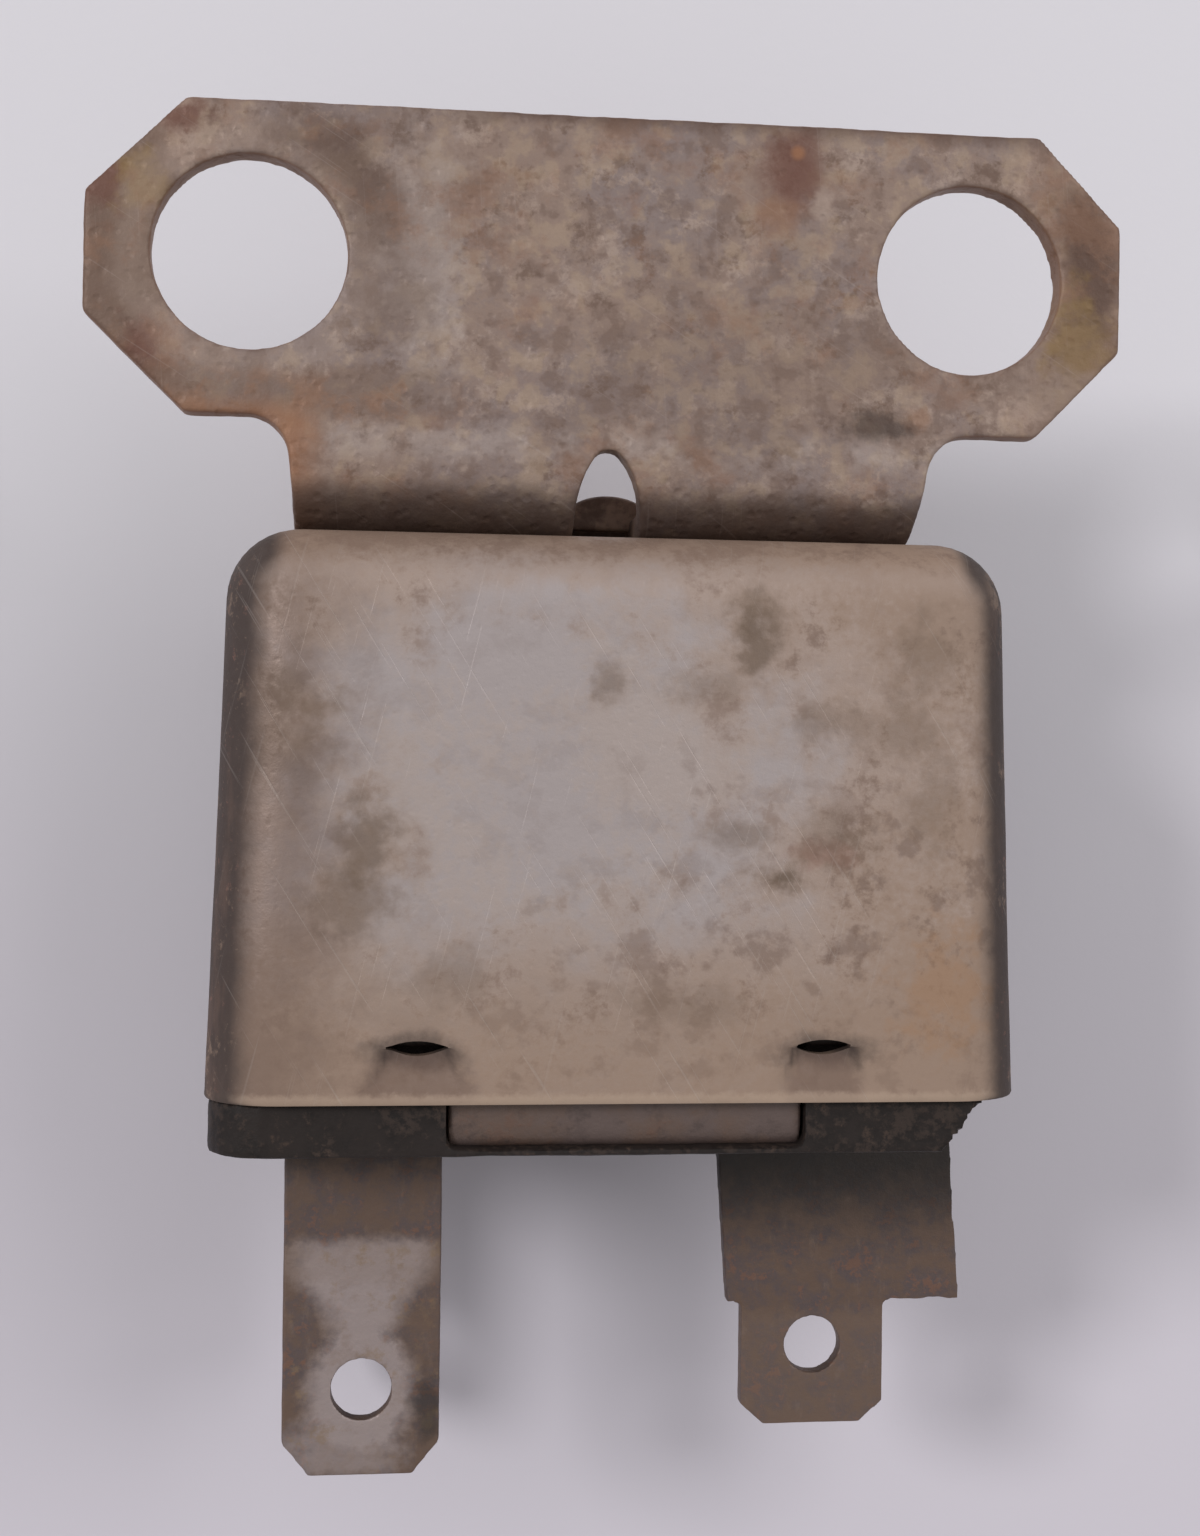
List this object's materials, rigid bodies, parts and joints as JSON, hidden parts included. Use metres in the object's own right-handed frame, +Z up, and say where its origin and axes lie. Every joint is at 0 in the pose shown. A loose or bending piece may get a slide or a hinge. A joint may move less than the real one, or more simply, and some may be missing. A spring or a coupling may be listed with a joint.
{
  "type": "metal can relay",
  "caption": "Small automotive relay in a drawn steel can, with a sheet-steel mounting bracket on its closed end and blade terminals under its moulded base.",
  "frame": {"origin": "under the middle of the whole part, on the surface that the back face of the can lies on", "axes": "+X across the can, +Y from the terminals towards the mounting bracket, +Z up, from the back face of the can to its crimped front face"},
  "size_m": [0.0412, 0.0544, 0.024],
  "materials": {
    "can_steel": "dull plated steel, grimy and tan with rust",
    "bracket_steel": "corroded sheet steel with rust patches",
    "phenolic": "dark moulded phenolic, worn and chipped",
    "iron": "soft iron, tarnished",
    "bobbin_phenolic": "brown moulded phenolic",
    "copper": "enamelled copper wire",
    "coil_paper": "varnished paper wrap",
    "terminal_brass": "tarnished tinned brass, brown and dirty",
    "rivet_brass": "tarnished brass",
    "spring_bronze": "bronze strip",
    "contact_silver": "silver alloy, tarnished"
  },
  "bodies": {
    "relay": {"back_stop": "iron", "base": "phenolic", "battery_lead": "copper", "battery_rivet": "rivet_brass", "battery_terminal": "terminal_brass", "bobbin": "bobbin_phenolic", "can": "can_steel", "coil_winding": "copper", "coil_wrap": "coil_paper", "core": "iron", "fixed_contact": "contact_silver", "fixed_contact_arm": "spring_bronze", "leg_pin_1": "iron", "leg_pin_2": "iron", "load_rivet": "rivet_brass", "load_terminal": "terminal_brass", "mounting_bracket": "bracket_steel", "return_leaf": "spring_bronze", "switch_lead": "copper", "switch_rivet": "rivet_brass", "switch_terminal": "terminal_brass", "yoke": "iron", "yoke_rivet_1": "iron", "yoke_rivet_2": "iron"},
    "armature": {"armature": "iron", "contact_blade": "spring_bronze", "moving_contact": "contact_silver", "blade_pin_1": "iron", "blade_pin_2": "iron", "leaf_pin_1": "iron", "leaf_pin_2": "iron", "residual_stud": "rivet_brass"}
  },
  "joints": [
    {"name": "armature_pivot", "type": "hinge", "parent": "relay", "child": "armature", "pos_m": [0.00051, 0.0038, 0.0219], "axis": [-1, 0, 0], "range_deg": [0, 3], "stiffness_Nm_per_rad": 0.05, "springref_deg": -5.73, "deforming": ["return_leaf"]}
  ]
}
